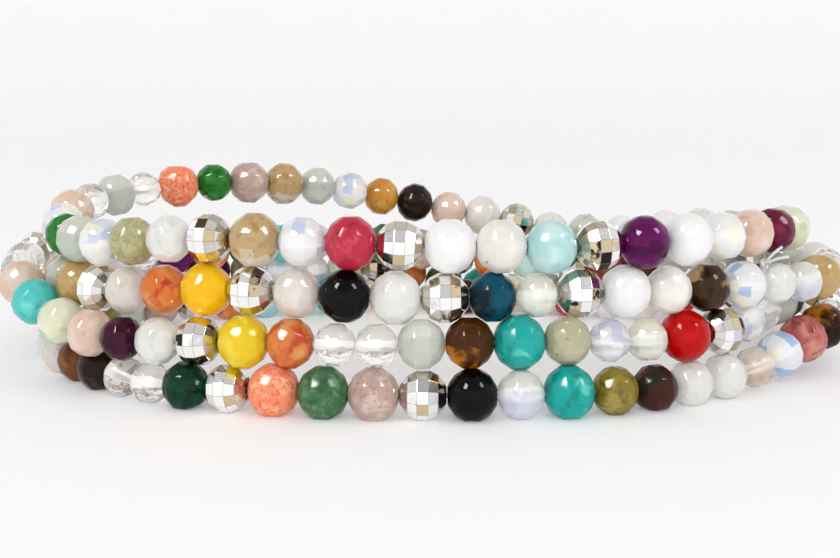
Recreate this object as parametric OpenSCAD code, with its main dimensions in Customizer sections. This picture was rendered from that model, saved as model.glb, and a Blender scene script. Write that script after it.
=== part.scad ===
// A wrap bracelet: one long string of small faceted stone and silver beads,
// wound four times round an open oval and lying flat, with a knotted clear thread.
// Millimetres. The rows named "seen" face -Y, and Z is up.

/* [Coil] */
// half width of the coil's middle line along X
half_width = 33; // [28:0.5:40]
// half depth of the coil's middle line along Y
half_depth = 19.5; // [15:0.5:30]
// squareness of the oval, 2 is a plain ellipse
oval_power = 2.2; // [2:0.1:3]
// angle of the place where the string's two ends meet
start_angle = 30; // [0:5:60]
// clear space left between beads that lie on each other
rest_gap = 0.15; // [0.1:0.05:0.4]

/* [Beads] */
// size of all the beads against the table below
bead_scale = 1; // [0.98:0.01:1.01]
// radius of a bead's flat end as a share of its own radius
end_flat = 0.5; // [0.4:0.05:0.6]
// facets round a stone bead
facets = 10; // [10:2:16]
// radius of the drilled hole
bore_radius = 0.4; // [0.35:0.05:0.5]

/* [Thread and knot] */
// radius of the clear elastic thread
thread_radius = 0.22; // [0.15:0.01:0.25]
// radius of the knot
knot_radius = 0.45; // [0.3:0.05:0.6]
// length of each cut end of the thread
tail_length = 2; // [1:0.1:4]

/* [Hidden] */

// kinds of bead: letter, diameter, colour
kinds = [
    ["a", 3.85, "#A8D5D4"], ["b", 3.85, "#140E10"], ["c", 3.1, "#DDDDDD"], ["d", 3.1, "#CDBFB0"],
    ["e", 3.4, "#2C7D2C"], ["f", 3.6, "#0F5468"], ["g", 3.9, "#3E6B45"], ["h", 3.9, "#E9E8EC"],
    ["i", 3.6, "#E6E2DA"], ["j", 3.9, "#B99A91"], ["k", 3.6, "#C9772F"], ["l", 3.55, "#D8D8DF"],
    ["m", 3.9, "#B53648"], ["n", 3.45, "#55302A"], ["o", 3.55, "#E9EDF5"], ["p", 3.85, "#4E0A57"],
    ["q", 3.95, "#E8764E"], ["r", 3.85, "#B10A0C"], ["s", 3.6, "#C9CDC4"], ["t", 3.6, "#4CC4BE"],
    ["u", 3.95, "#16A79B"], ["v", 3.55, "#8A7A35"], ["w", 3.45, "#F0F0F0"], ["x", 3.7, "#5A3312"],
    ["y", 3.9, "#F4B400"], ["z", 3.9, "#D9BE1D"], ["A", 3.6, "#C58A2A"], ["B", 3.6, "#D8CFC4"],
    ["C", 3.55, "#8C6B4F"], ["D", 3.6, "#0E3A26"], ["E", 3.1, "#DDE0F0"], ["G", 3.3, "#3A0E25"],
    ["H", 3.55, "#A9A486"], ["K", 3.7, "#2A1A12"], ["M", 3.45, "#7A1F45"], ["N", 3.6, "#1F2F5A"],
    ["P", 3.6, "#DDBDAE"], ["R", 3.75, "#A65A56"], ["S", 3.85, "#CFC9BF"], ["T", 3.9, "#BFA27F"],
    ["V", 3.55, "#9C9A76"], ["Y", 3.6, "#D5DBB8"], ["Z", 3.6, "#B07A40"]
];
silver = "i";

// order of the beads along the string, from its start behind the right end,
// the rows that are seen in front and the stretches behind them by turns
hidden_start = "gqhic";
seen_wrap_1 = "KRodwwnvulbijgqiDccKZB";
hidden_wrap_1 = "wtwvsjikaeudycnzimoSrixcTg";
seen_wrap_2 = "scEircEHuxscckziwGPYtPc";
hidden_wrap_2 = "ciGPlwipHEoYikgucsiRZswsiDec";
seen_wrap_3 = "cAEcoCHhicfihbBiykBiAsP";
hidden_wrap_3 = "sohcpqgtwvgjikaeuEhygnzi";
seen_wrap_4 = "YMPohpiaShimoTiwVoseoPcscqejTsoAKP";
hidden_end = "SixTfdiGP";
chart = str(hidden_start, seen_wrap_1, hidden_wrap_1, seen_wrap_2, hidden_wrap_2,
            seen_wrap_3, hidden_wrap_3, seen_wrap_4, hidden_end);
count = len(chart);
// the knot follows the fourth seen bead of the third wrap
knot_at = len(str(hidden_start, seen_wrap_1, hidden_wrap_1, seen_wrap_2, hidden_wrap_2)) + 4;

// the way of the string: angle travelled, distance outside the oval, least height of its line
stations = [
    [0, 4.8, 5.2], [32, 2.6, 4.2], [60, 0.3, 2.4], [78, 0.2, 0], [105, 1.5, 0],
    [155, 1, 0], [180, -0.5, 0], [215, 0.5, 0], [300, -1.5, 0], [345, -1.4, 0],
    [372, -2, 4], [392, -2, 5.6], [418, -1.8, 6], [440, 0, 0], [460, 0.5, 0],
    [500, 1, 0], [535, 1.5, 0], [550, 2.8, 5.6], [575, 3.2, 9], [595, 3.2, 7.2], [615, 2.6, 0],
    [640, 1, 0], [662, 3, 0], [688, 3, 0], [712, 0.5, 0],
    [728, 0.4, 7.4], [752, 2, 8.4], [772, 1.4, 8.6], [800, -0.5, 8.8], [840, 0, 0], [885, 0, 0],
    [915, -0.8, 6], [945, -1, 8.6], [970, -0.9, 0], [1005, -0.5, 0], [1030, -1.5, 0],
    [1060, -1.8, 0], [1085, -2.2, 0], [1100, -2.2, 0], [1125, -1.5, 12], [1145, -1.2, 12.8],
    [1170, 0, 13], [1240, 0, 0], [1280, -0.8, 11.8], [1310, -2.4, 13.8], [1335, -3.6, 14.4],
    [1350, -3, 13.8], [1362, -1.2, 12.6], [1378, 1.4, 10.4], [1394, 3.4, 7.8],
    [1420, 4.6, 7.6], [1440, 4.8, 5.2]
];
full_travel = 1440;

// a bead lies only on beads at least this many places before it
wrap_least = 26;
// a raised bead also holds up this many beads on each side of it
hold_reach = 6;

// value of one column of the stations at travelled angle t, eased between rows
function station(t, column) =
    let (k = max([for (i = [0 : len(stations) - 2]) if (t >= stations[i][0]) i]),
         a = stations[k],
         b = stations[k + 1],
         w = (1 - cos(180 * (t - a[0]) / (b[0] - a[0]))) / 2)
    a[column] + (b[column] - a[column]) * w;

// signed power, for the oval
function bent(v) = sign(v) * pow(abs(v), 2 / oval_power);

// where the string's line lies in plan at travelled angle t
function plan(t) =
    let (o = station(t, 1), a = start_angle - t)
    [(half_width + o) * bent(cos(a)), (half_depth + o) * bent(sin(a))];

// travelled length against travelled angle, in one-degree steps
way = [for (t = 0, s = 0, p = plan(0), n = plan(1); t <= full_travel;
            t = t + 1, s = s + norm(n - p), p = n, n = plan(min(t + 1, full_travel))) [s, t]];
way_length = way[full_travel][0];

// every bead's row of the table, diameter, and length between its flat ends
rows = [for (letter = chart) kinds[search(letter, kinds)[0]]];
across = [for (row = rows) row[1] * bead_scale];
lengths = [for (d = across) d * sqrt(1 - end_flat * end_flat)];
function total(list, n) = n == 0 ? 0 : list * [for (i = [0 : len(list) - 1]) i < n ? 1 : 0];
spare = (way_length - total(lengths, count)) / count;

// joints of the thread in plan, halfway between neighbouring beads
turn_at = [for (i = [0 : count]) lookup(total(lengths, i) + i * spare, way)];
joints = [for (t = turn_at) plan(min(t, full_travel))];
middles = [for (i = [0 : count - 1]) (joints[i] + joints[i + 1]) / 2];
middle_turn = [for (i = [0 : count - 1]) (turn_at[i] + turn_at[i + 1]) / 2];

// how far the line may dip this many beads away from a raised one
function dip(k) = k < 2 ? 0.3 * k * k : 1.2 * (k - 1);

// height of bead j once the thread has joined it to its neighbours
function settled(heights, j) =
    (max(heights[max(j - 1, 0)], heights[j]) + max(heights[j], heights[j + 1])) / 2;

// least height of bead i: on the floor, at its station, or on the beads under it
function resting(i, heights) =
    max([across[i] / 2, station(middle_turn[i], 2),
        for (j = [max(0, i - count + 6) : 1 : i - wrap_least])
            let (d = norm(middles[i] - middles[j]), m = (across[i] + across[j]) / 2 + rest_gap)
            if (d < m) settled(heights, j) + sqrt(m * m - d * d)]);

// heights of all the beads, built up from the first one
function pile(least, heights) =
    let (i = len(heights))
    i == count ? heights
    : len(least) < min(count, i + hold_reach + 1)
        ? pile(concat(least, resting(len(least), heights)), heights)
        : pile(least, concat(heights, max([
            for (j = [max(0, i - hold_reach) : min(count - 1, i + hold_reach)])
                least[j] - dip(abs(j - i))])));
heights = pile([], []);

// joints of the thread in space, before the whole is moved to its origin
raw_joints = [for (i = [0 : count - 1])
    [joints[i][0], joints[i][1], max(heights[(i + count - 1) % count], heights[i])]];

function unit(v) = v / norm(v);
function side_of(axis) = unit(cross(axis, [0, 0, 1]));

// points of a ring of n round point c, square to axis
function ring(c, axis, r, n, spin) =
    let (u = side_of(axis), v = cross(u, axis))
    [for (k = [0 : n - 1]) c + r * (cos(spin + 360 * k / n) * u + sin(spin + 360 * k / n) * v)];

// each bead's middle, axis, radius and turn about its axis
function bead(at, i) =
    let (a = at[i], b = at[(i + 1) % count])
    [(a + b) / 2, unit(b - a), across[i] / 2, 360 / facets * ((i * 0.38) % 1)];

// corners of a stone: four rings of facets on a ball
end_angle = acos(end_flat);
function corners(b) =
    [for (lat = [-end_angle, -22.5, 22.5, end_angle])
        each ring(b[0] + b[1] * b[2] * sin(lat), b[1], b[2] * cos(lat), facets, b[3])];

// the whole stands on z = 0, with its box centred on the origin
raw_beads = [for (i = [0 : count - 1]) bead(raw_joints, i)];
all_corners = [for (b = raw_beads) each corners(b)];
function low(k) = min([for (p = all_corners) p[k]]);
function high(k) = max([for (p = all_corners) p[k]]);
origin = [(low(0) + high(0)) / 2, (low(1) + high(1)) / 2, low(2)];
thread_joints = [for (q = raw_joints) q - origin];
beads = [for (i = [0 : count - 1]) bead(thread_joints, i)];

// faces of a stack of rings of n points, closed at both ends
function band_faces(bands, n) =
    [for (k = [0 : bands - 1]) for (s = [0 : n - 1])
        [k * n + s, (k + 1) * n + s, (k + 1) * n + (s + 1) % n, k * n + (s + 1) % n]];
stone_faces = concat(
    [[for (s = [0 : facets - 1]) s]],
    band_faces(3, facets),
    [[for (s = [facets - 1 : -1 : 0]) 3 * facets + s]]
);

// wrap that a bead belongs to, 1 to 4
function wrap_of(i) = min(4, floor(middle_turn[i] / 360) + 1);

// things built along Z are laid along a bead's axis
module along(b) {
    translate(b[0])
        rotate([0, acos(b[1][2]), atan2(b[1][1], b[1][0])])
            children();
}

module bore(b) {
    along(b) cylinder(h = 2 * b[2] + 1, r = bore_radius, center = true, $fn = 24);
}

module stone(i) {
    color(rows[i][2])
        difference() {
            polyhedron(points = corners(beads[i]), faces = stone_faces);
            bore(beads[i]);
        }
}

// a silver bead: five turned bands, with flats ground round its belt
module silver_bead(i) {
    b = beads[i];
    r = b[2];
    lats = [-end_angle, -36, -12, 12, 36, end_angle];
    profile = concat(
        [[bore_radius, -r * sin(end_angle)]],
        [for (a = lats) [r * cos(a), r * sin(a)]],
        [[bore_radius, r * sin(end_angle)]]
    );
    color(rows[i][2])
        along(b)
            intersection() {
                rotate_extrude($fn = 40) polygon(profile);
                rotate([0, 0, b[3]]) cylinder(h = 2 * r, r = r, center = true, $fn = 10);
            }
}

module stones(wrap) {
    for (i = [0 : count - 1])
        if (chart[i] != silver && wrap_of(i) == wrap) stone(i);
}

module silvers(wrap) {
    for (i = [0 : count - 1])
        if (chart[i] == silver && wrap_of(i) == wrap) silver_bead(i);
}

module stones_wrap_1() stones(1);
module stones_wrap_2() stones(2);
module stones_wrap_3() stones(3);
module stones_wrap_4() stones(4);
module silver_wrap_1() silvers(1);
module silver_wrap_2() silvers(2);
module silver_wrap_3() silvers(3);
module silver_wrap_4() silvers(4);

// the thread: a closed tube with a mitred ring at each joint
thread_sides = 5;
module elastic_thread() {
    points = [for (i = [0 : count - 1])
        let (back = beads[(i + count - 1) % count][1], ahead = beads[i][1])
        each ring(thread_joints[i], unit(back + ahead), thread_radius, thread_sides, 0)];
    faces = [for (i = [0 : count - 1]) for (s = [0 : thread_sides - 1])
        let (j = (i + 1) % count, w = (s + 1) % thread_sides)
        [i * thread_sides + s, j * thread_sides + s, j * thread_sides + w, i * thread_sides + w]];
    color("#EEF0F2") polyhedron(points = points, faces = faces);
}

// the knot sits in the groove between two beads, with two cut ends
knot_lean = 10; // from upright towards the outside of the coil
knot_out = 1.6; // from the thread's line to the knot's middle
neck_radius = 0.12;
tail_radius = 0.2;
tail_ways = [[0.7, -0.4, 0.9], [0.9, -0.5, 0.4]]; // X, Y and Z parts of each cut end
module knot_rod(a, b, r) {
    d = b - a;
    translate(a)
        rotate([0, acos(d[2] / norm(d)), atan2(d[1], d[0])])
            cylinder(h = norm(d), r = r, $fn = 16);
}
module thread_knot() {
    q = thread_joints[knot_at];
    // the string travels clockwise from above, so the right of its way is inside
    inward = side_of(unit(beads[knot_at - 1][1] + beads[knot_at][1]));
    lift = [0, 0, cos(knot_lean)] - inward * sin(knot_lean);
    middle = q + lift * knot_out;
    color("#F2F3F4")
        union() {
            translate(middle) sphere(r = knot_radius, $fn = 24);
            knot_rod(q + lift * (thread_radius + 0.1), middle, neck_radius);
            for (way_out = tail_ways)
                knot_rod(middle, middle + unit(way_out) * tail_length, tail_radius);
        }
}

stones_wrap_1();
silver_wrap_1();
stones_wrap_2();
silver_wrap_2();
stones_wrap_3();
silver_wrap_3();
stones_wrap_4();
silver_wrap_4();
elastic_thread();
thread_knot();
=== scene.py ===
import math
import random

import bmesh
import bpy
import numpy as np
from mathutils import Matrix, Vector


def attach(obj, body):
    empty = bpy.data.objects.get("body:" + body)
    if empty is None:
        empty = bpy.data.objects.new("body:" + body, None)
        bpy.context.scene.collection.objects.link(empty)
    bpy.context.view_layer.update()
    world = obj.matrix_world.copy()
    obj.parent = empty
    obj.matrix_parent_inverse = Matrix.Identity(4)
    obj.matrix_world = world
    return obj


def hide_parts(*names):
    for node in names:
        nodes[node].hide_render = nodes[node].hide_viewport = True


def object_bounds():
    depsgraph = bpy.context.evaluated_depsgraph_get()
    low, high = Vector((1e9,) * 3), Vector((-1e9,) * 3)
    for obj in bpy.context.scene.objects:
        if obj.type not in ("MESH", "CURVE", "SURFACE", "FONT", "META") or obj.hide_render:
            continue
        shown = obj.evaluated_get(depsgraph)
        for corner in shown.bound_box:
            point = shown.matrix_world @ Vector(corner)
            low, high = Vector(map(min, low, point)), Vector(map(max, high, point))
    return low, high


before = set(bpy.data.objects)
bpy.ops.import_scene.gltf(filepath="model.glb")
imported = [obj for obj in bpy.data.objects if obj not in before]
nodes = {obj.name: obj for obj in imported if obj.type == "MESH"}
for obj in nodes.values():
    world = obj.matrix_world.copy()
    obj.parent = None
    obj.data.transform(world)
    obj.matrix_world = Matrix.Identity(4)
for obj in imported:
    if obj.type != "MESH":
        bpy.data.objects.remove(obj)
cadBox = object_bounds()
mm = 0.001

# the lens stands low in front of the long side of the coil
lensPlace = {"place": (-0.00088, -0.11548, 0.02768), "pitch": 0.18, "lens": 55.67, "sensor": 36}
lens = bpy.data.cameras.new("lens")
lens.lens, lens.sensor_width = lensPlace["lens"], lensPlace["sensor"]
lens.clip_start, lens.clip_end = 0.005, 20
lensStand = bpy.data.objects.new("lensStand", lens)
lensStand.location = lensPlace["place"]
lensStand.rotation_euler = (math.pi / 2 - lensPlace["pitch"], 0, 0)
bpy.context.scene.collection.objects.link(lensStand)
bpy.context.scene.camera = lensStand
print("camera stands")


# shader maths: + - * / on a socket add Math nodes
class Wire:
    def __init__(self, bench, socket):
        self.bench, self.socket = bench, socket

    def maths(self, operation, *parts):
        return self.bench.node("ShaderNodeMath", {"operation": operation}, dict(enumerate(parts)))

    def __add__(self, other):
        return self.maths("ADD", self, other)

    def __radd__(self, other):
        return self.maths("ADD", other, self)

    def __sub__(self, other):
        return self.maths("SUBTRACT", self, other)

    def __rsub__(self, other):
        return self.maths("SUBTRACT", other, self)

    def __mul__(self, other):
        return self.maths("MULTIPLY", self, other)

    def __rmul__(self, other):
        return self.maths("MULTIPLY", other, self)

    def __truediv__(self, other):
        return self.maths("DIVIDE", self, other)

    def __rtruediv__(self, other):
        return self.maths("DIVIDE", other, self)

    def __abs__(self):
        return self.maths("ABSOLUTE", self)


# the node tree of one material or of the world, and the only place where its nodes are made
class Bench:
    def __init__(self, owner):
        self.owner = owner
        owner.use_nodes = True
        self.tree = owner.node_tree
        self.tree.nodes.clear()

    def node(self, kind, settings=None, sockets=None, out=0):
        made = self.tree.nodes.new(kind)
        for name, value in (settings or {}).items():
            if name == "stops":
                ramp = made.color_ramp
                while len(ramp.elements) < len(value):
                    ramp.elements.new(0.5)
                for stop, (at, shade) in zip(ramp.elements, value):
                    stop.position, stop.color = at, shade
            else:
                setattr(made, name, value)
        for name, value in (sockets or {}).items():
            if isinstance(value, Wire):
                self.tree.links.new(value.socket, made.inputs[name])
            else:
                made.inputs[name].default_value = value
        return Wire(self, made.outputs[out] if len(made.outputs) else None)

    def mix(self, share, first, second, blend="MIX"):
        return self.node("ShaderNodeMix", {"data_type": "RGBA", "blend_type": blend},
                         {0: share, 6: first, 7: second}, out=2)

    def step(self, value, low, high):  # 0 below low, 1 above high, eased between
        return self.node("ShaderNodeMapRange", {"interpolation_type": "SMOOTHSTEP"},
                         {"Value": value, "From Min": low, "From Max": high})

    def noise(self, place, scale, detail=2.0, swirl=0.0):
        return self.node("ShaderNodeTexNoise", None,
                         {"Vector": place, "Scale": scale, "Detail": detail, "Distortion": swirl})

    def finish(self, shader, kind="ShaderNodeOutputMaterial"):
        self.node(kind, None, {"Surface": shader})
        return self.owner


def paint(name):  # a bench with a new material on it
    return Bench(bpy.data.materials.new(name))


def colour(text, lighter=1.0):  # "#rrggbb" as the linear values that nodes take
    def linear(c):
        return c / 12.92 if c <= 0.04045 else ((c + 0.055) / 1.055) ** 2.4
    return tuple(min(1.0, linear(int(text[k:k + 2], 16) / 255) * lighter) for k in (1, 3, 5)) + (1.0,)


# the string: which bead is where
# order of the beads, the stretches seen in front and those behind by turns
beadOrder = "".join([
    "gqhic", "xROdwwnvulbijgqiDccKZB", "wtwvsjikaeudycnzimoSrixcTg",
    "scEirNEHuxscckziwGPYtPc", "ciGPlwipHEoYikgucsiRZswsiswc", "cAlwOCShiNfiwbBiykBiAsP",
    "sohcpqgtwvgjikaeuEhwsPci", "YMPohpiaShimoTiwVoseoPcscqejTsoQKP", "SiwshdiGP",
])
silverLetter = "i"
stoneNodes = ["stones_wrap_1", "stones_wrap_2", "stones_wrap_3", "stones_wrap_4"]
silverNodes = ["silver_wrap_1", "silver_wrap_2", "silver_wrap_3", "silver_wrap_4"]


def looseLumps(ob):  # corners of each separate solid of a node
    co = np.empty(len(ob.data.vertices) * 3)
    ob.data.vertices.foreach_get("co", co)
    co = co.reshape(-1, 3)
    keys, index = np.unique(np.round(co / 2e-6).astype(np.int64), axis=0, return_inverse=True)
    index = index.ravel()
    parent = list(range(len(keys)))

    def root(k):
        while parent[k] != k:
            parent[k] = parent[parent[k]]
            k = parent[k]
        return k
    edges = np.empty(len(ob.data.edges) * 2, int)
    ob.data.edges.foreach_get("vertices", edges)
    for a, b in index[edges.reshape(-1, 2)]:
        parent[root(a)] = root(b)
    places = keys * 2e-6
    lumps = {}
    for k in range(len(keys)):
        lumps.setdefault(root(k), []).append(k)
    return [places[v] for v in lumps.values()], places, index[edges.reshape(-1, 2)]


def threadJoints():  # bends of the thread, in order round its closed loop
    _, places, edges = looseLumps(nodes["elastic_thread"])
    group = -np.ones(len(places), int)
    middles = []
    for k in range(len(places)):
        if group[k] < 0:
            near = np.linalg.norm(places - places[k], axis=1) < 0.6 * mm
            group[near] = len(middles)
            middles.append(places[near].mean(0))
    beside = {}
    for a, b in group[edges]:
        if a != b:
            beside.setdefault(a, set()).add(b)
            beside.setdefault(b, set()).add(a)
    walk = [0, min(beside[0])]
    while len(walk) < len(middles):
        walk.append(next(k for k in beside[walk[-1]] if k != walk[-2]))
    return np.array(middles)[walk]


def readString():  # each bead's node, middle, axis, radius and letter, in the order of the string
    joints = threadJoints()
    found = [(n, lump) for n in stoneNodes + silverNodes for lump in looseLumps(nodes[n])[0]]
    middles = np.array([(v.min(0) + v.max(0)) / 2 for _, v in found])
    count = len(joints)
    row = []
    for k in range(count):
        a, b = joints[k], joints[(k + 1) % count]
        at = int(np.argmin(np.linalg.norm(middles - (a + b) / 2, axis=1)))
        name, lump = found[at]
        row.append({"node": name, "middle": (a + b) / 2, "start": a, "end": b,
                    "radius": float(np.linalg.norm(lump - (a + b) / 2, axis=1).max())})
    silver = [b["node"] in silverNodes for b in row]
    for turned in (False, True):
        order = list(reversed(range(count))) if turned else list(range(count))
        for first in range(count):
            run = order[first:] + order[:first]
            if all(silver[k] == (c == silverLetter) for k, c in zip(run, beadOrder)):
                for place, (k, c) in enumerate(zip(run, beadOrder)):
                    b = row[k]
                    ahead = (b["end"] - b["start"]) * (-1 if turned else 1)
                    b.update(letter=c, place=place, axis=ahead / np.linalg.norm(ahead),
                             joint=b["end"] if turned else b["start"])
                return [row[k] for k in run]
    raise RuntimeError("the order of the silver beads does not fit the string")


beadRow = readString()
print("string read:", len(beadRow), "beads")


# bead shapes, cut on a ball of radius 1 whose bore lies along Z
boreRadius = 0.3 * mm
stoneCut = {
    "endPlane": 0.93,   # the flat end, as a share of the radius
    "softEdge": 0.045,  # width of a facet's softened edge
    "tilt": 0.03,       # how unevenly the facets lie
    "depth": 0.008,     # how unevenly deep they are cut
    "designs": {        # rows of facets: latitude, number round, half step aside, depth of the cut
        "straight": [(0, 12, 0, 0.965), (34, 12, 0, 0.96), (-34, 12, 0, 0.96), (61, 9, 0, 0.96), (-61, 9, 0, 0.96)],
        "staggered": [(0, 11, 0, 0.96), (33, 11, 1, 0.955), (-33, 11, 1, 0.955), (61, 8, 0, 0.96), (-61, 8, 0, 0.96)],
        "fine": [(0, 13, 0, 0.968), (28, 13, 1, 0.965), (-28, 13, 1, 0.965), (55, 10, 0, 0.965), (-55, 10, 0, 0.965)],
    },
    "seeds": 3,
    "roundness": {"straight": 0.55, "staggered": 0.45, "fine": 0.75},  # how domed the facets are
}
silverCut = {"bands": (-70, -62, -38, -13, 13, 38, 62, 70), "round": 12, "softEdge": 0.014}


def openEnds(bm, hole):  # turns the two flat ends into rings round a drilled hole, and adds its wall
    rims = []
    for way in (-1, 1):
        end = max((f for f in bm.faces), key=lambda f: f.normal.z * way)
        outer = sorted(end.verts, key=lambda v: math.atan2(v.co.y, v.co.x))
        z = end.calc_center_median().z
        bm.faces.remove(end)
        inner = [bm.verts.new((hole * math.cos(a), hole * math.sin(a), z))
                 for a in (-math.pi + 2 * math.pi * (k + 0.5) / 12 for k in range(12))]
        for v in outer:
            v.co.z = z
        i = j = 0
        while i < len(outer) or j < len(inner):
            a = math.atan2(outer[i % len(outer)].co.y, outer[i % len(outer)].co.x) + 2 * math.pi * (i // len(outer))
            b = math.atan2(inner[j % 12].co.y, inner[j % 12].co.x) + 2 * math.pi * (j // 12)
            if j >= len(inner) or (i < len(outer) and a <= b):
                tri = [outer[i % len(outer)], outer[(i + 1) % len(outer)], inner[j % 12]]
                i += 1
            else:
                tri = [inner[(j + 1) % 12], inner[j % 12], outer[i % len(outer)]]
                j += 1
            bm.faces.new(tri if way > 0 else tri[::-1])
        rims.append(inner)
    low, high = rims
    return [bm.faces.new([low[k], low[(k + 1) % 12], high[(k + 1) % 12], high[k]]) for k in range(12)]


def takeOff(bm, soft, wall):  # the finished bead as plain tables
    bm.verts.index_update()
    facets = [f for f in bm.faces if f not in soft and f not in wall]
    facing, tone = {}, {}
    for number, f in enumerate(facets):
        for v in f.verts:
            facing.setdefault(v.index, f.normal.copy())
            tone.setdefault(v.index, number)
    faces, normals, kinds, corners = [], [], [], []
    for f in bm.faces:
        faces.append([v.index for v in f.verts])
        kinds.append(2 if f in wall else 1 if f in soft else 0)
        corners += faces[-1]
        for v in f.verts:
            if f in wall:
                normals.append(Vector((-v.co.x, -v.co.y, 0)).normalized())
            elif f in soft:
                normals.append(facing.get(v.index, f.normal))
            else:
                normals.append(f.normal)
    made = {
        "points": np.array([v.co for v in bm.verts]), "faces": faces, "normals": np.array(normals),
        "kinds": kinds, "facing": np.array([facing.get(v.index, Vector((0, 0, 1))) for v in bm.verts]),
        "facet": np.array([tone.get(v.index, 0) for v in bm.verts]), "corners": np.array(corners),
        "wallCorner": np.array([k == 2 for k, f in zip(kinds, faces) for _ in f]),
    }
    bm.free()
    return made


def softened(bm, width):
    made = bmesh.ops.bevel(bm, geom=list(bm.edges), offset=width, offset_type="OFFSET", segments=1,
                           profile=0.5, affect="EDGES", clamp_overlap=True)
    return set(made["faces"])


def cutStone(design, seed):
    rnd = random.Random(f"{design}{seed}")
    bm = bmesh.new()
    bmesh.ops.create_cube(bm, size=2.3)
    planes = [((0, 0, 1), stoneCut["endPlane"]), ((0, 0, -1), stoneCut["endPlane"])]
    for lat, many, aside, depth in stoneCut["designs"][design]:
        for k in range(many):
            a = 2 * math.pi * (k + aside / 2) / many + rnd.uniform(-1, 1) * stoneCut["tilt"]
            e = math.radians(lat) + rnd.uniform(-1, 1) * stoneCut["tilt"]
            planes.append(((math.cos(e) * math.cos(a), math.cos(e) * math.sin(a), math.sin(e)),
                           depth + rnd.uniform(-1, 1) * stoneCut["depth"]))
    for facing, depth in planes:
        facing = Vector(facing)
        bmesh.ops.bisect_plane(bm, geom=list(bm.verts) + list(bm.edges) + list(bm.faces), dist=1e-5,
                               plane_co=facing * depth, plane_no=facing, clear_outer=True)
        rim = [e for e in bm.edges if e.is_boundary]
        if rim:
            bmesh.ops.contextual_create(bm, geom=rim)
    bmesh.ops.remove_doubles(bm, verts=list(bm.verts), dist=0.05)
    bmesh.ops.dissolve_limit(bm, angle_limit=0.01, verts=list(bm.verts), edges=list(bm.edges))
    bm.normal_update()
    soft = softened(bm, stoneCut["softEdge"])
    bm.normal_update()
    wall = set(openEnds(bm, boreRadius / (1.85 * mm)))
    bm.normal_update()
    return takeOff(bm, soft, wall)


def cutSilver():
    many = silverCut["round"]
    bm = bmesh.new()
    rings = [[bm.verts.new((math.cos(math.radians(lat)) * math.cos(2 * math.pi * k / many),
                            math.cos(math.radians(lat)) * math.sin(2 * math.pi * k / many),
                            math.sin(math.radians(lat)))) for k in range(many)] for lat in silverCut["bands"]]
    for low, high in zip(rings, rings[1:]):
        for k in range(many):
            bm.faces.new([low[k], low[(k + 1) % many], high[(k + 1) % many], high[k]])
    bm.faces.new(rings[0][::-1])
    bm.faces.new(rings[-1])
    bm.normal_update()
    soft = softened(bm, silverCut["softEdge"])
    bm.normal_update()
    wall = set(openEnds(bm, boreRadius / (1.8 * mm)))
    bm.normal_update()
    return takeOff(bm, soft, wall)


stoneShapes = {d: [cutStone(d, s) for s in range(stoneCut["seeds"])] for d in stoneCut["designs"]}
silverShape = cutSilver()
print("bead shapes cut:", {d: len(v[0]["faces"]) for d, v in stoneShapes.items()}, len(silverShape["faces"]))


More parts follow.
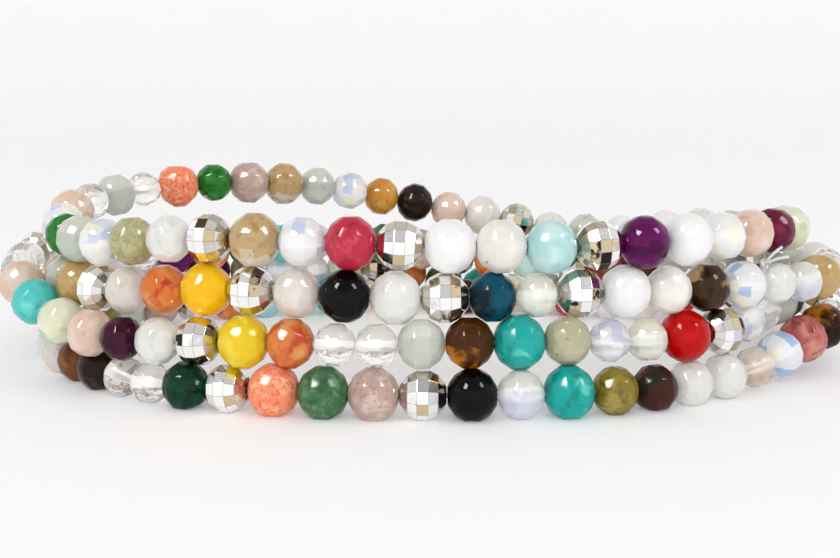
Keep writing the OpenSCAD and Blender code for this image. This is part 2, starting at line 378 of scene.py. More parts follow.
# finishes of the stones: three shades, where the second and the third lie (pattern, features per mm,
# from, to), and the cut; the "lean" pattern lays painted light on the facets that look up, the "under"
# pattern painted light (smoky tan) and painted shade (clear crystal) on those that look down
stoneKinds = {
    "a": {"name": "aquaStone", "shades": ("#A2D2D2", "#C8E6E4", "#2C4044"),
          "second": ("clouds", 0.5, 0.42, 0.66), "third": ("clouds", 1.4, 0.76, 0.8),
          "rough": 0.1, "clear": 0.0, "milky": 0.3, "gloss": 0.45, "cut": "fine"},
    "b": {"name": "blackOnyx", "shades": ("#070405", "#0E090B", "#180C0C"),
          "second": ("clouds", 0.5, 0.5, 0.8), "third": ("clouds", 1.5, 0.6, 0.9),
          "rough": 0.03, "clear": 0.0, "milky": 0.0, "gloss": 0.13, "cut": "fine"},
    # clear crystal: painted light on the facets that look up, painted shade on those that look down
    "c": {"name": "clearCrystal", "shades": ("#FBF9F6", "#FFFFF6", "#E6E2EC"),
          "second": ("lean", 1, -0.1, 0.8), "third": ("under", 0.6, 0.3, 0.9),
          "rough": 0.018, "clear": 0.8, "milky": 0.0, "gloss": 0.5, "cut": "staggered"},
    # second shade: painted light on the facets that look up
    "d": {"name": "champagneCrystal", "shades": ("#E4D3C2", "#F6ECE0", "#BFAB95"),
          "second": ("lean", 1, -0.1, 0.8), "third": ("clouds", 0.6, 0.6, 0.8),
          "rough": 0.03, "clear": 0.6, "milky": 0.1, "gloss": 0.5, "cut": "staggered"},
    "e": {"name": "emeraldStone", "shades": ("#1C7A22", "#3FA03C", "#0A4A16"),
          "second": ("clouds", 0.9, 0.5, 0.72), "third": ("clouds", 1.4, 0.5, 0.7),
          "rough": 0.08, "clear": 0.1, "milky": 0.1, "gloss": 0.25, "cut": "staggered"},
    "f": {"name": "tealBlueStone", "shades": ("#004E64", "#031A22", "#5C4A30"),
          "second": ("clouds", 0.45, 0.42, 0.68), "third": ("clouds", 0.5, 0.6, 0.74),
          "rough": 0.07, "clear": 0.0, "milky": 0.0, "gloss": 0.15, "cut": "straight"},
    "g": {"name": "greenAventurine", "shades": ("#3C6A44", "#648E64", "#2A5234"),
          "second": ("clouds", 1.5, 0.45, 0.7), "third": ("clouds", 0.7, 0.5, 0.66),
          "rough": 0.12, "clear": 0.0, "milky": 0.05, "gloss": 0.25, "cut": "straight"},
    "h": {"name": "milkQuartz", "shades": ("#FAFAFB", "#FEFEFD", "#ECEDF2"),
          "second": ("clouds", 0.6, 0.4, 0.6), "third": ("clouds", 1.1, 0.6, 0.8),
          "rough": 0.1, "clear": 0.1, "milky": 0.4, "gloss": 0.45, "cut": "fine"},
    "j": {"name": "mauveStone", "shades": ("#BC9C92", "#D4C0B6", "#A2847A"),
          "second": ("clouds", 0.8, 0.45, 0.66), "third": ("clouds", 3.0, 0.56, 0.68),
          "rough": 0.1, "clear": 0.0, "milky": 0.2, "gloss": 0.4, "cut": "straight"},
    "k": {"name": "carnelian", "shades": ("#E07830", "#F0A868", "#C43418"),
          "second": ("clouds", 0.4, 0.42, 0.68), "third": ("clouds", 0.6, 0.48, 0.62),
          "rough": 0.07, "clear": 0.15, "milky": 0.15, "gloss": 0.25, "cut": "staggered"},
    # second shade: painted light on the facets that look up
    "l": {"name": "lavenderOpalite", "shades": ("#E6E6F4", "#F8F8EA", "#C8CCEE"),
          "second": ("lean", 1, -0.2, 0.7), "third": ("clouds", 0.5, 0.5, 0.75),
          "rough": 0.07, "clear": 0.35, "milky": 0.3, "gloss": 0.5, "cut": "staggered"},
    "m": {"name": "crimsonStone", "shades": ("#BC2440", "#D2505E", "#8E182E"),
          "second": ("clouds", 0.7, 0.5, 0.75), "third": ("clouds", 1.4, 0.52, 0.75),
          "rough": 0.09, "clear": 0.0, "milky": 0.1, "gloss": 0.25, "cut": "staggered"},
    "n": {"name": "maroonStone", "shades": ("#3C1612", "#5E3222", "#14201A"),
          "second": ("clouds", 0.6, 0.48, 0.66), "third": ("clouds", 0.5, 0.46, 0.64),
          "rough": 0.09, "clear": 0.0, "milky": 0.0, "gloss": 0.15, "cut": "straight"},
    "o": {"name": "opalite", "shades": ("#F3F3F8", "#FBF6E2", "#C6D2F4"),
          "second": ("clouds", 0.45, 0.54, 0.66), "third": ("facets", 1, 0.7, 0.8),
          "rough": 0.03, "clear": 0.2, "milky": 0.3, "gloss": 0.5, "cut": "straight"},
    "p": {"name": "purpleStone", "shades": ("#5A0450", "#7A0C6A", "#3C0434"),
          "second": ("clouds", 0.6, 0.5, 0.75), "third": ("facets", 1, 0.6, 0.95),
          "rough": 0.05, "clear": 0.0, "milky": 0.0, "gloss": 0.18, "cut": "fine"},
    "q": {"name": "coralStone", "shades": ("#F48A62", "#FDB28E", "#E46846"),
          "second": ("clouds", 2.0, 0.48, 0.62), "third": ("clouds", 3.4, 0.54, 0.62),
          "rough": 0.1, "clear": 0.0, "milky": 0.15, "gloss": 0.25, "cut": "straight"},
    "r": {"name": "redStone", "shades": ("#BA0204", "#CC1814", "#860304"),
          "second": ("clouds", 0.6, 0.5, 0.8), "third": ("clouds", 1.1, 0.55, 0.75),
          "rough": 0.07, "clear": 0.0, "milky": 0.03, "gloss": 0.15, "cut": "fine"},
    # second shade: painted light on the facets that look up
    "s": {"name": "sageStone", "shades": ("#D2D8CE", "#E8E8DC", "#BAC4B8"),
          "second": ("lean", 1, 0.2, 0.7), "third": ("clouds", 1.2, 0.55, 0.75),
          "rough": 0.08, "clear": 0.25, "milky": 0.35, "gloss": 0.5, "cut": "straight"},
    "t": {"name": "turquoiseStone", "shades": ("#46C2BE", "#7CDAD4", "#2AA09E"),
          "second": ("clouds", 0.6, 0.45, 0.7), "third": ("clouds", 1.2, 0.55, 0.75),
          "rough": 0.1, "clear": 0.0, "milky": 0.15, "gloss": 0.25, "cut": "straight"},
    "u": {"name": "tealStone", "shades": ("#00A49C", "#62C8BC", "#00847C"),
          "second": ("clouds", 0.8, 0.56, 0.72), "third": ("clouds", 0.7, 0.5, 0.7),
          "rough": 0.11, "clear": 0.0, "milky": 0.08, "gloss": 0.25, "cut": "straight"},
    "v": {"name": "oliveStone", "shades": ("#857218", "#AA9A4A", "#5A4A14"),
          "second": ("clouds", 0.7, 0.45, 0.7), "third": ("clouds", 1.3, 0.5, 0.7),
          "rough": 0.09, "clear": 0.1, "milky": 0.05, "gloss": 0.25, "cut": "staggered"},
    "w": {"name": "milkyStone", "shades": ("#F6F7F2", "#FDFBF6", "#E4E9E4"),
          "second": ("clouds", 0.4, 0.45, 0.7), "third": ("clouds", 0.9, 0.55, 0.75),
          "rough": 0.08, "clear": 0.25, "milky": 0.4, "gloss": 0.5, "cut": "staggered"},
    "x": {"name": "tigersEye", "shades": ("#301204", "#C87C1C", "#160904"),
          "second": ("clouds", 0.42, 0.5, 0.66), "third": ("clouds", 0.5, 0.54, 0.66),
          "rough": 0.08, "clear": 0.0, "milky": 0.0, "gloss": 0.15, "cut": "straight"},
    "y": {"name": "yellowStone", "shades": ("#FFBE00", "#FFD420", "#F8AC00"),
          "second": ("clouds", 0.5, 0.45, 0.75), "third": ("clouds", 0.9, 0.55, 0.8),
          "rough": 0.05, "clear": 0.1, "milky": 0.15, "gloss": 0.25, "cut": "staggered"},
    "z": {"name": "yellowOliveStone", "shades": ("#F0CE0C", "#F8DE48", "#CDB41A"),
          "second": ("clouds", 0.5, 0.45, 0.7), "third": ("clouds", 0.7, 0.55, 0.75),
          "rough": 0.06, "clear": 0.1, "milky": 0.15, "gloss": 0.25, "cut": "staggered"},
    "A": {"name": "amberStone", "shades": ("#CCA866", "#E4CC9A", "#A6803E"),
          "second": ("clouds", 0.5, 0.45, 0.7), "third": ("clouds", 1.0, 0.55, 0.75),
          "rough": 0.07, "clear": 0.2, "milky": 0.25, "gloss": 0.45, "cut": "straight"},
    "B": {"name": "beigeStone", "shades": ("#E6DDD4", "#F2ECE6", "#D0C4BA"),
          "second": ("clouds", 0.5, 0.4, 0.7), "third": ("clouds", 1.4, 0.58, 0.75),
          "rough": 0.09, "clear": 0.15, "milky": 0.35, "gloss": 0.45, "cut": "staggered"},
    "C": {"name": "tanBrownStone", "shades": ("#3A2616", "#B0906A", "#140C06"),
          "second": ("clouds", 0.35, 0.52, 0.6), "third": ("clouds", 0.6, 0.52, 0.62),
          "rough": 0.08, "clear": 0.0, "milky": 0.0, "gloss": 0.15, "cut": "straight"},
    "D": {"name": "darkGreenStone", "shades": ("#072E20", "#145038", "#02140D"),
          "second": ("clouds", 0.7, 0.5, 0.75), "third": ("clouds", 1.2, 0.5, 0.7),
          "rough": 0.06, "clear": 0.0, "milky": 0.0, "gloss": 0.15, "cut": "straight"},
    # second shade: painted light on the facets that look up
    "E": {"name": "clearOpalite", "shades": ("#F4F2F6", "#FBFAF2", "#D6DAF4"),
          "second": ("lean", 1, -0.1, 0.7), "third": ("facets", 1, 0.7, 0.8),
          "rough": 0.03, "clear": 0.5, "milky": 0.2, "gloss": 0.5, "cut": "staggered"},
    "G": {"name": "garnet", "shades": ("#3A0722", "#641440", "#1A030E"),
          "second": ("clouds", 0.6, 0.5, 0.8), "third": ("facets", 1, 0.5, 0.9),
          "rough": 0.05, "clear": 0.1, "milky": 0.0, "gloss": 0.15, "cut": "staggered"},
    "H": {"name": "prehnite", "shades": ("#C0BB98", "#D2CEB4", "#908A6C"),
          "second": ("clouds", 0.6, 0.45, 0.7), "third": ("clouds", 1.6, 0.66, 0.74),
          "rough": 0.08, "clear": 0.2, "milky": 0.2, "gloss": 0.45, "cut": "staggered"},
    "K": {"name": "darkBrownStone", "shades": ("#1E110C", "#4A3020", "#0C0705"),
          "second": ("clouds", 0.7, 0.52, 0.7), "third": ("clouds", 0.9, 0.5, 0.7),
          "rough": 0.07, "clear": 0.0, "milky": 0.0, "gloss": 0.15, "cut": "straight"},
    "M": {"name": "magentaStone", "shades": ("#6C1038", "#9A3460", "#400A24"),
          "second": ("clouds", 0.6, 0.5, 0.75), "third": ("clouds", 1.1, 0.5, 0.7),
          "rough": 0.07, "clear": 0.1, "milky": 0.05, "gloss": 0.15, "cut": "staggered"},
    # second shade: painted light on the facets that look up
    "N": {"name": "milkyCrystal", "shades": ("#F0F2E8", "#FCFAE8", "#D9DDD2"),
          "second": ("lean", 1, 0.1, 0.8), "third": ("clouds", 0.5, 0.52, 0.7),
          "rough": 0.03, "clear": 0.5, "milky": 0.2, "gloss": 0.5, "cut": "straight"},
    "O": {"name": "blueOpalite", "shades": ("#F0F1F8", "#FBF5DC", "#A6C4EE"),
          "second": ("clouds", 0.45, 0.54, 0.66), "third": ("facets", 1, 0.62, 0.7),
          "rough": 0.03, "clear": 0.2, "milky": 0.3, "gloss": 0.5, "cut": "straight"},
    "P": {"name": "peachStone", "shades": ("#EBCDB8", "#F4E2D4", "#D8B09A"),
          "second": ("clouds", 0.5, 0.4, 0.7), "third": ("clouds", 1.1, 0.55, 0.75),
          "rough": 0.08, "clear": 0.15, "milky": 0.3, "gloss": 0.45, "cut": "straight"},
    "Q": {"name": "honeyStone", "shades": ("#CC8624", "#E2AA4C", "#98601A"),
          "second": ("clouds", 0.5, 0.45, 0.7), "third": ("clouds", 1.0, 0.55, 0.75),
          "rough": 0.07, "clear": 0.1, "milky": 0.15, "gloss": 0.35, "cut": "straight"},
    "R": {"name": "roseStone", "shades": ("#B45A56", "#D08C80", "#84382F"),
          "second": ("clouds", 0.6, 0.45, 0.7), "third": ("clouds", 1.1, 0.5, 0.7),
          "rough": 0.09, "clear": 0.0, "milky": 0.08, "gloss": 0.25, "cut": "staggered"},
    "S": {"name": "greyBeigeStone", "shades": ("#E4E0D8", "#F0EDE6", "#9A9488"),
          "second": ("clouds", 0.5, 0.4, 0.65), "third": ("clouds", 0.9, 0.7, 0.76),
          "rough": 0.1, "clear": 0.0, "milky": 0.3, "gloss": 0.45, "cut": "straight"},
    # smoky tan: the second shade is painted light, paler on the facets that look down
    "T": {"name": "smokyTanStone", "shades": ("#CDAA70", "#E2D6C4", "#B08A52"),
          "second": ("under", 1, 0.3, 0.42), "third": ("clouds", 1.3, 0.5, 0.7),
          "rough": 0.06, "clear": 0.2, "milky": 0.15, "gloss": 0.45, "cut": "straight"},
    "V": {"name": "speckledOliveStone", "shades": ("#A8A274", "#BFBA90", "#8A845C"),
          "second": ("clouds", 0.9, 0.45, 0.7), "third": ("veins", 1.5, 0.0, 0.04),
          "rough": 0.1, "clear": 0.0, "milky": 0.15, "gloss": 0.4, "cut": "straight"},
    "Y": {"name": "paleGreenStone", "shades": ("#EAEDCE", "#F6F7E4", "#C6D8AC"),
          "second": ("clouds", 0.5, 0.4, 0.7), "third": ("facets", 1, 0.86, 0.97),
          "rough": 0.08, "clear": 0.15, "milky": 0.3, "gloss": 0.5, "cut": "staggered"},
    "Z": {"name": "brownStone", "shades": ("#744222", "#9C6A3E", "#4C2A16"),
          "second": ("clouds", 0.5, 0.5, 0.7), "third": ("clouds", 0.9, 0.5, 0.7),
          "rough": 0.08, "clear": 0.0, "milky": 0.03, "gloss": 0.15, "cut": "straight"},
}


def patternMask(bench, pattern, grain, lean, facetTone):
    kind, scale, low, high = pattern
    if kind == "clouds":
        value = bench.noise(grain, scale, 3, 0.4)
    elif kind == "veins":  # thin lines where two shades of noise meet
        return 1 - bench.step(abs(bench.noise(grain, scale, 3, 0.8) - 0.5), low, high)
    elif kind == "bands":
        value = bench.node("ShaderNodeTexWave", {"bands_direction": "X"},
                           {"Vector": grain, "Scale": scale * 0.314, "Distortion": 3.0, "Detail": 2.0}, out="Fac")
    # painted light: the facets that look up take a lighter shade
    elif kind == "lean":  # facets that look up
        value = lean
    # painted light and shade on the facets that look down
    elif kind == "under":  # facets that look down
        value = 0 - lean
    else:
        value = facetTone
    return bench.step(value, low, high)


def stoneFinish(letter):
    kind = stoneKinds[letter]
    base, second, third = kind["shades"]
    bench = paint(kind["name"])
    grain = bench.node("ShaderNodeAttribute", {"attribute_name": "grain"}, out="Vector")
    lean = bench.node("ShaderNodeAttribute", {"attribute_name": "lean"}, out="Fac")
    facetTone = bench.node("ShaderNodeAttribute", {"attribute_name": "facetTone"}, out="Fac")
    beadTone = bench.node("ShaderNodeAttribute", {"attribute_name": "beadTone"}, out="Fac")
    softEdge = bench.node("ShaderNodeAttribute", {"attribute_name": "softEdge"}, out="Fac")
    shade = bench.mix(patternMask(bench, kind["second"], grain, lean, facetTone), colour(base), colour(second))
    shade = bench.mix(patternMask(bench, kind["third"], grain, lean, facetTone), shade, colour(third))
    # each bead and each facet of it is a little lighter or darker
    shade = bench.mix(beadTone * 0.15, shade, colour(second))
    shade = bench.mix(facetTone * 0.08, shade, colour(base, 0.6))
    # the softened facet edges are mixed a little toward the second shade, a faint painted highlight
    shade = bench.mix(softEdge * 0.02, shade, colour(second))
    polish = bench.noise(grain, 3.5, 3)
    skin = bench.node("ShaderNodeBump", None, {"Strength": 0.04, "Distance": 0.02 * mm, "Height": bench.noise(grain, 9, 2)})
    return bench.finish(bench.node("ShaderNodeBsdfPrincipled", None, {
        "Base Color": shade, "Roughness": kind["rough"] * 1.1 + polish * (kind["rough"] * 1.1),
        "Normal": skin, "Transmission Weight": kind["clear"], "IOR": 1.54,
        "Specular IOR Level": kind["gloss"], "Subsurface Weight": kind["milky"],
        "Subsurface Radius": (1.0, 0.9, 0.8), "Subsurface Scale": 0.6 * mm,
    }))


def silverFinish():
    bench = paint("polishedSilver")
    facetTone = bench.node("ShaderNodeAttribute", {"attribute_name": "facetTone"}, out="Fac")
    lean = bench.node("ShaderNodeAttribute", {"attribute_name": "lean"}, out="Fac")
    endWay = bench.node("ShaderNodeAttribute", {"attribute_name": "endWay"}, out="Fac")
    grain = bench.node("ShaderNodeAttribute", {"attribute_name": "grain"}, out="Vector")
    softEdge = bench.node("ShaderNodeAttribute", {"attribute_name": "softEdge"}, out="Fac")
    # painted reflection: at random each facet takes white, lavender grey, tan or near black, for the room and beads a
    # polished facet would mirror
    paintedReflection = facetTone + bench.noise(grain, 1.6, 2) * 0.3 - 0.15
    shade = bench.mix(bench.step(paintedReflection, 0.58, 0.66), colour("#FEFEFC"), colour("#DADAE2"))
    shade = bench.mix(bench.step(paintedReflection, 0.74, 0.82), shade, colour("#D6C3A0"))
    shade = bench.mix(bench.step(paintedReflection, 0.92, 0.96), shade, colour("#2E2A28"))
    # painted reflection: facets that look up are tinted tan, the mirrored ceiling
    shade = bench.mix(bench.step(lean, 0.6, 0.95) * 0.4, shade, colour("#D8C6A6"))
    # painted reflection: facets towards the ends are tinted olive brown, the mirrored neighbouring beads
    shade = bench.mix(bench.step(endWay, 0.7, 0.8) * 0.6, shade, colour("#8E8060"))
    # painted reflection: the softened facet edges are darkened to grey brown
    shade = bench.mix(softEdge * 0.6, shade, colour("#8C857C"))
    wear = bench.noise(grain, 5, 3)
    return bench.finish(bench.node("ShaderNodeBsdfPrincipled", None, {
        "Base Color": shade, "Metallic": 1.0, "Roughness": 0.05 + wear * 0.1,
        "Normal": bench.node("ShaderNodeBump", None, {"Strength": 0.05, "Distance": 0.02 * mm, "Height": wear}),
    }))


def boreFinish():  # the frosted wall of a hole drilled through a clear bead
    bench = paint("frostedBorePaintedGlow")
    frost = bench.noise(bench.node("ShaderNodeAttribute", {"attribute_name": "grain"}, out="Vector"), 6, 3)
    return bench.finish(bench.node("ShaderNodeBsdfPrincipled", None, {
        "Base Color": bench.mix(frost, colour("#FFFFFF"), colour("#F0EEF2")), "Roughness": 0.35 + frost * 0.2,
        "Transmission Weight": 0.35, "IOR": 1.2,
        # the wall glows: painted light, standing in for the light that reaches the bore through the clear stone
        "Emission Color": bench.mix(frost, colour("#F4F2F0"), colour("#E6E4E8")), "Emission Strength": 0.55}))


def threadFinish():
    bench = paint("clearElastic")
    grain = bench.node("ShaderNodeTexCoord", out="Object")
    streak = bench.noise(grain, 2500, 2)
    return bench.finish(bench.node("ShaderNodeBsdfPrincipled", None, {
        "Base Color": bench.mix(streak, colour("#FBFBFB"), colour("#EEF0F2")),
        "Roughness": 0.18 + streak * 0.15, "Transmission Weight": 0.35, "IOR": 1.45,
        "Subsurface Weight": 0.3, "Subsurface Radius": (1, 1, 1), "Subsurface Scale": 0.3 * mm,
    }))


finishes = {letter: stoneFinish(letter) for letter in stoneKinds}
finishes[silverLetter] = silverFinish()
finishes["bore"] = boreFinish()
seeThrough = "cdEolON"
print("finishes mixed:", len(finishes))


# beads laid on the string
def turnAxes(bead, spin):  # the bead's own X, Y and Z in the object's frame, as columns
    z = bead["axis"]
    x = np.cross(z, (0, 0, 1))
    x /= np.linalg.norm(x)
    y = np.cross(z, x)
    return np.array([x * math.cos(spin) + y * math.sin(spin), y * math.cos(spin) - x * math.sin(spin), z]).T


def anyTurn(rnd):  # an even random turn, for the way the grain lies in a stone
    q = np.array([rnd.gauss(0, 1) for _ in range(4)])
    w, x, y, z = q / np.linalg.norm(q)
    return np.array([[1 - 2 * (y * y + z * z), 2 * (x * y - z * w), 2 * (x * z + y * w)],
                     [2 * (x * y + z * w), 1 - 2 * (x * x + z * z), 2 * (y * z - x * w)],
                     [2 * (x * z - y * w), 2 * (y * z + x * w), 1 - 2 * (x * x + y * y)]])


beadFit = {"swell": 1.07, "gap": 0.015 * mm, "unevenFacets": 0.02, "unevenSilver": 0.05}
for bead, last, after in zip(beadRow, beadRow[-1:] + beadRow[:-1], beadRow[1:] + beadRow[:1]):
    bend = max(math.acos(min(1, bead["axis"] @ other["axis"])) for other in (last, after))
    length = np.linalg.norm(bead["end"] - bead["start"])
    bead["room"] = length / 2 - beadFit["gap"] - 0.28 * bead["radius"] * math.sin(bend / 2)
print("room along the thread:", sorted(round(b["room"] / b["radius"], 2) for b in beadRow)[::16])


def layBeads(name, node):
    points, faces, normals, slots = [], [], [], []
    flow = {"grain": [], "lean": [], "facetTone": [], "beadTone": [], "endWay": []}
    softEdge, used, base = [], [], 0
    low, high = np.array(cadBox[0]), np.array(cadBox[1])
    for bead in (b for b in beadRow if b["node"] == node):
        rnd = random.Random(bead["place"] * 7 + 3)
        if bead["letter"] == silverLetter:
            shape, domed, uneven = silverShape, 0.0, beadFit["unevenSilver"]
        else:
            design = stoneKinds[bead["letter"]]["cut"]
            shape = stoneShapes[design][rnd.randrange(stoneCut["seeds"])]
            domed, uneven = stoneCut["roundness"][design], beadFit["unevenFacets"]
        turn = turnAxes(bead, rnd.uniform(0, 2 * math.pi))
        size = np.array([1, 1, 1]) * bead["radius"] * beadFit["swell"]
        size[2] = min(size[2], bead["room"] / shape["points"][:, 2].max())
        own = shape["points"] * size
        placed = own @ turn.T + bead["middle"]
        points.append(np.clip(placed, low, high))
        tilts = np.array([[rnd.uniform(-1, 1) * uneven for _ in range(3)] for _ in range(int(shape["facet"].max()) + 1)])
        outward = shape["points"][shape["corners"]]
        leaned = shape["normals"] + tilts[shape["facet"][shape["corners"]]]
        leaned = leaned * (1 - domed) + outward / np.linalg.norm(outward, axis=1)[:, None] * domed
        leaned[shape["wallCorner"]] = shape["normals"][shape["wallCorner"]]
        leaned /= size
        normals.append(leaned / np.linalg.norm(leaned, axis=1)[:, None] @ turn.T)
        faces += [[base + k for k in f] for f in shape["faces"]]
        base += len(own)
        if bead["letter"] not in used:
            used += [bead["letter"], "bore"] if bead["letter"] in seeThrough else [bead["letter"]]
        ownSlot = used.index(bead["letter"])
        slots += [ownSlot + 1 if k == 2 and bead["letter"] in seeThrough else ownSlot for k in shape["kinds"]]
        softEdge += [1.0 if k == 1 else 0.0 for k in shape["kinds"]]
        offset = np.array([rnd.uniform(-40, 40) for _ in range(3)])
        flow["grain"].append((own / mm) @ anyTurn(rnd).T + offset)
        # lean and endWay tell how much each facet looks up and towards the bead's ends; they are read only to paint
        # light, shade and reflections
        flow["lean"].append((shape["facing"] @ turn.T)[:, 2])
        tones = np.array([rnd.random() for _ in range(int(shape["facet"].max()) + 1)])
        flow["facetTone"].append(tones[shape["facet"]])
        flow["beadTone"].append(np.full(len(own), rnd.random()))
        flow["endWay"].append(np.abs(shape["facing"][:, 2]))
    mesh = bpy.data.meshes.new(name)
    mesh.from_pydata(np.concatenate(points).tolist(), [], faces)
    mesh.polygons.foreach_set("material_index", slots)
    mesh.polygons.foreach_set("use_smooth", [True] * len(faces))
    for key, parts in flow.items():
        values = np.concatenate(parts).astype(np.float32)
        kind, word = ("FLOAT_VECTOR", "vector") if values.ndim == 2 else ("FLOAT", "value")
        mesh.attributes.new(key, kind, "POINT").data.foreach_set(word, values.ravel())
    mesh.attributes.new("softEdge", "FLOAT", "FACE").data.foreach_set("value", softEdge)
    mesh.update()
    mesh.normals_split_custom_set(np.concatenate(normals).tolist())
    for letter in used:
        mesh.materials.append(finishes[letter])
    piece = bpy.data.objects.new(name, mesh)
    bpy.context.scene.collection.objects.link(piece)
    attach(piece, "root")
    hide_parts(node)
    print("laid", name, len(faces), "faces")
    return piece


for wrap in range(4):
    layBeads(f"gemBeadsWrap{wrap + 1}", stoneNodes[wrap])
    layBeads(f"silverBeadsWrap{wrap + 1}", silverNodes[wrap])


# the elastic thread and its knot
threadSize = {"radius": 0.2 * mm, "sides": 8, "fillet": 0.35 * mm}
knotSize = {"strand": 0.13 * mm, "spread": 0.155 * mm, "after": 108, "out": 1.6 * mm, "tailStrand": 0.12 * mm, "tail": 2.0 * mm}


def tubeAlong(path, radius, sides, closed):  # points and faces of a round tube
    path = np.array(path)
    count = len(path)
    ahead = np.roll(path, -1, 0) - path
    back = path - np.roll(path, 1, 0)
    if not closed:
        ahead[-1], back[0] = back[-1], ahead[0]
    way = ahead / np.linalg.norm(ahead, axis=1)[:, None] + back / np.linalg.norm(back, axis=1)[:, None]
    way /= np.linalg.norm(way, axis=1)[:, None]
    side = np.cross(way[0], (0.1, 0.2, 1.0))
    points = []
    for k in range(count):
        if closed:
            side = np.cross(way[k], (0, 0, 1))
        side = side - way[k] * (side @ way[k])
        side /= np.linalg.norm(side)
        over = np.cross(way[k], side)
        for s in range(sides):
            a = 2 * math.pi * s / sides
            points.append(path[k] + radius * (math.cos(a) * side + math.sin(a) * over))
    faces = [[k * sides + s, k * sides + (s + 1) % sides,
              (k + 1) % count * sides + (s + 1) % sides, (k + 1) % count * sides + s]
             for k in range(count if closed else count - 1) for s in range(sides)]
    if not closed:
        faces += [list(range(sides))[::-1], [(count - 1) * sides + s for s in range(sides)]]
    return points, faces


def addPiece(name, tubes, material, node):
    points, faces = [], []
    for p, f in tubes:
        faces += [[len(points) + k for k in one] for one in f]
        points += p
    mesh = bpy.data.meshes.new(name)
    mesh.from_pydata([tuple(p) for p in points], [], faces)
    mesh.polygons.foreach_set("use_smooth", [len(f) == 4 for f in faces])
    mesh.materials.append(material)
    mesh.update()
    piece = bpy.data.objects.new(name, mesh)
    bpy.context.scene.collection.objects.link(piece)
    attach(piece, "root")
    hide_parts(node)
    return piece


clearElastic = threadFinish()
line = []
for bead, after in zip(beadRow, beadRow[1:] + beadRow[:1]):
    a, b = bead["joint"], after["joint"]
    way = (b - a) / np.linalg.norm(b - a)
    line += [a + way * threadSize["fillet"], b - way * threadSize["fillet"]]
addPiece("elasticThread", [tubeAlong(line, threadSize["radius"], threadSize["sides"], True)],
         clearElastic, "elastic_thread")

joint = beadRow[knotSize["after"]]["joint"]
before, behind = beadRow[knotSize["after"] - 1]["axis"], beadRow[knotSize["after"]]["axis"]
along = (before + behind) / np.linalg.norm(before + behind)
inward = np.cross(along, (0, 0, 1))
inward /= np.linalg.norm(inward)
lift = np.array((0, 0, math.cos(math.radians(10)))) - inward * math.sin(math.radians(10))
heart = joint + lift * knotSize["out"]
loops = []
for k in range(48):  # one overhand knot drawn tight
    t = 2 * math.pi * k / 48
    x, y, z = math.sin(t) + 2 * math.sin(2 * t), math.cos(t) - 2 * math.cos(2 * t), -1.3 * math.sin(3 * t)
    loops.append(heart + knotSize["spread"] * 0.75 * (x * along + y * lift + z * np.cross(along, lift)))
tails = []
for way in ((0.7, -0.4, 0.9), (0.9, -0.5, 0.4)):
    way = np.array(way) / np.linalg.norm(way)
    bow = np.array((0, 0, 1)) if way[2] < 0.7 else np.array((-0.6, 0, 0.6))
    tails.append(tubeAlong([heart + way * knotSize["tail"] * s + bow * 0.12 * mm * math.sin(math.pi * s)
                            for s in (0.05, 0.25, 0.5, 0.75, 1)], knotSize["tailStrand"], 8, False))
neck = tubeAlong([joint + lift * 0.15 * mm, joint + lift * 0.8 * mm, heart], knotSize["strand"], 8, False)
addPiece("threadKnot", [tubeAlong(loops, knotSize["strand"], 8, True), neck] + tails,
         clearElastic, "thread_knot")
print("thread and knot laid")


# floor and light
studio = {"floorFlat": 0.45, "sweep": 0.3, "floorShade": "#F6F6F7"}
rings = [(0.0, 0.0), (0.1, 0.0), (0.25, 0.0), (studio["floorFlat"], 0.0)]
for k in range(1, 13):
    a = math.radians(k * 6.5)
    rings.append((studio["floorFlat"] + studio["sweep"] * math.sin(a), studio["sweep"] * (1 - math.cos(a))))
rings.append((rings[-1][0] + 0.05, rings[-1][1] + 0.25))
bowlPoints = [(r * math.cos(2 * math.pi * s / 96), r * math.sin(2 * math.pi * s / 96), z) for r, z in rings for s in range(96)]
bowlFaces = [[k * 96 + s, k * 96 + (s + 1) % 96, (k + 1) * 96 + (s + 1) % 96, (k + 1) * 96 + s]
             for k in range(len(rings) - 1) for s in range(96)]
floorMesh = bpy.data.meshes.new("paleFloor")
floorMesh.from_pydata(bowlPoints, [], bowlFaces)
floorMesh.polygons.foreach_set("use_smooth", [True] * len(bowlFaces))
bench = paint("paleFloorPaint")
floorGrain = bench.noise(bench.node("ShaderNodeTexCoord", out="Object"), 60, 2)
away = bench.node("ShaderNodeVectorMath", {"operation": "LENGTH"},
                  {0: bench.node("ShaderNodeTexCoord", out="Object")}, out="Value")
floorMesh.materials.append(bench.finish(bench.node("ShaderNodeBsdfPrincipled", None, {
    "Base Color": bench.mix(floorGrain * 0.15, colour(studio["floorShade"]), colour("#EFEFF2")),
    "Roughness": 0.55 + floorGrain * 0.1, "Specular IOR Level": 0.0, "Emission Strength": 1.0,
    "Emission Color": bench.mix(bench.step(away, 0.05, 0.45), (0.134, 0.134, 0.136, 1), (0.155, 0.155, 0.157, 1))})))
paleFloor = bpy.data.objects.new("paleFloor", floorMesh)
bpy.context.scene.collection.objects.link(paleFloor)

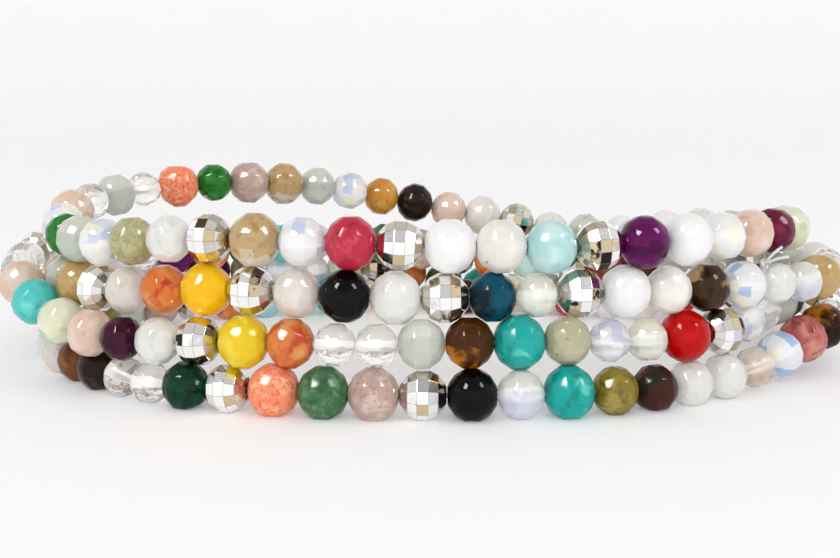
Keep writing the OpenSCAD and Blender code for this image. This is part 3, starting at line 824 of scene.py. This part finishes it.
# lights, aimed at the coil's middle: the softboxes give light but no highlight, the windows only highlights
lamps = {
    "softboxOver": {"place": (0.02, 0.0, 0.9), "wide": 1.3, "high": 1.1, "watts": 0.9, "tint": (1.0, 1.0, 1.0)},
    "softboxFront": {"place": (0.0, -0.525, 0.317), "wide": 0.49, "high": 0.245, "watts": 1.08, "tint": (1.0, 1.0, 1.0)},
    "windowLeft": {"place": (-0.16, -0.16, 0.24), "wide": 0.1, "high": 0.11, "watts": 1.4, "tint": (1.0, 0.99, 0.97)},
    "windowRight": {"place": (0.2, -0.1, 0.22), "wide": 0.06, "high": 0.09, "watts": 0.3, "tint": (0.98, 0.99, 1.0)},
}
for name, lit in lamps.items():
    lamp = bpy.data.lights.new(name, "AREA")
    lamp.shape, lamp.size, lamp.size_y = "RECTANGLE", lit["wide"], lit["high"]
    lamp.energy, lamp.color = lit["watts"], lit["tint"]
    stand = bpy.data.objects.new(name, lamp)
    stand.location = lit["place"]
    stand.rotation_euler = (Vector((0, 0, 0.008)) - Vector(lit["place"])).to_track_quat("-Z", "Y").to_euler()
    stand.visible_glossy = name.startswith("window")
    stand.visible_diffuse = not stand.visible_glossy
    stand.visible_camera = False
    bpy.context.scene.collection.objects.link(stand)

# a dark card behind the lens, which only shows through the clear beads
card = bpy.data.meshes.new("darkCard")
card.from_pydata([(x * 0.06, -0.26, 0.055 + z * 0.045) for x, z in ((-1, -1), (1, -1), (1, 1), (-1, 1))], [], [(0, 1, 2, 3)])
bench = paint("darkCardPaint")
card.materials.append(bench.finish(bench.node("ShaderNodeBsdfPrincipled", None, {
    "Base Color": colour("#1C1816"), "Roughness": 0.8})))
darkCard = bpy.data.objects.new("darkCard", card)
bpy.context.scene.collection.objects.link(darkCard)
darkCard.visible_camera = darkCard.visible_glossy = False
darkCard.visible_diffuse = darkCard.visible_shadow = False

bench = Bench(bpy.data.worlds.new("studioAir"))
up = bench.node("ShaderNodeSeparateXYZ", None, {0: bench.node("ShaderNodeTexCoord", out="Generated")}, out="Z")
sky = bench.finish(bench.node("ShaderNodeBackground", None, {
    "Color": bench.mix(bench.step(up, 0.15, 0.75), (1.0, 1.0, 1.0, 1), (0.6, 0.59, 0.575, 1)), "Strength": 0.95,
}), "ShaderNodeOutputWorld")
bpy.context.scene.world = sky
bpy.context.scene.view_settings.view_transform = "Standard"
print("floor and light set")
